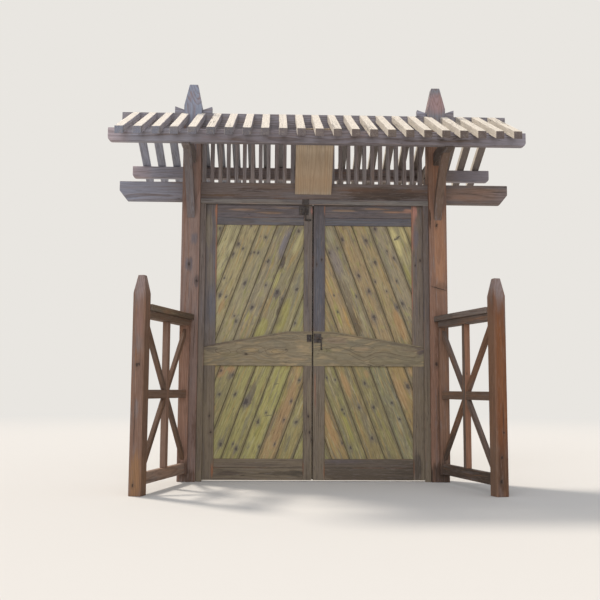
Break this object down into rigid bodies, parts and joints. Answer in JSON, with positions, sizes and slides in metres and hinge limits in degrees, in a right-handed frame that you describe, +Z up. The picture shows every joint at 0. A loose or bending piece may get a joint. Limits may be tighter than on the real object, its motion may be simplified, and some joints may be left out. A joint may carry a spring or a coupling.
{
  "type": "lychgate",
  "caption": "Timber lychgate with an open gable roof of slatted rafters, paired boarded doors and splayed cross-braced wings.",
  "frame": {"origin": "ground level, in the middle of the ground that the gate covers", "axes": "+X along the gate to the right as seen from the path in front, +Y back through the gateway, away from the wings, +Z up"},
  "size_m": [3.076, 1.676, 3.12],
  "materials": {
    "post_timber": "weathered, red-brown and grey",
    "beam_timber": "weathered, sawn",
    "rafter_timber": "weathered, sawn",
    "door_frame_timber": "weathered, planed",
    "door_board_timber": "weathered knotty softwood",
    "sign_timber": "planed, blank",
    "wing_timber": "weathered, sawn",
    "black_iron": "black, satin"
  },
  "bodies": {
    "gate": {"left_post": "post_timber", "right_post": "post_timber", "tie_beam": "beam_timber", "ridge_beam": "beam_timber", "front_plate": "beam_timber", "rear_plate": "beam_timber", "front_rafters": "rafter_timber", "rear_rafters": "rafter_timber", "cross_arms": "beam_timber", "knee_braces": "beam_timber", "saddles": "beam_timber", "transom_bars": "beam_timber", "sign_board": "sign_timber", "jambs": "beam_timber", "jamb_hinges": "black_iron", "stop_strips": "beam_timber", "head_strip": "beam_timber", "head_keeper": "black_iron", "left_wing_post": "wing_timber", "left_wing_ledger": "wing_timber", "left_wing_cap": "wing_timber", "left_wing_top_rail": "wing_timber", "left_wing_middle_rail": "wing_timber", "left_wing_bottom_rail": "wing_timber", "left_wing_muntin": "wing_timber", "left_wing_braces": "wing_timber", "right_wing_post": "wing_timber", "right_wing_ledger": "wing_timber", "right_wing_cap": "wing_timber", "right_wing_top_rail": "wing_timber", "right_wing_middle_rail": "wing_timber", "right_wing_bottom_rail": "wing_timber", "right_wing_muntin": "wing_timber", "right_wing_braces": "wing_timber"},
    "left_door": {"left_door_stiles": "door_frame_timber", "left_door_rails": "door_frame_timber", "left_door_boards": "door_board_timber", "left_door_hinges": "black_iron", "left_door_keeper": "black_iron", "left_door_bolt": "black_iron"},
    "right_door": {"right_door_stiles": "door_frame_timber", "right_door_rails": "door_frame_timber", "right_door_boards": "door_board_timber", "right_door_hinges": "black_iron", "right_door_latch": "black_iron"}
  },
  "joints": [
    {"name": "left_door_swing", "type": "hinge", "parent": "gate", "child": "left_door", "pos_m": [-0.867, 0.11603, 0], "axis": [0, 0, 1], "range_deg": [0, 95]},
    {"name": "right_door_swing", "type": "hinge", "parent": "gate", "child": "right_door", "pos_m": [0.867, 0.11603, 0], "axis": [0, 0, -1], "range_deg": [0, 95]}
  ]
}
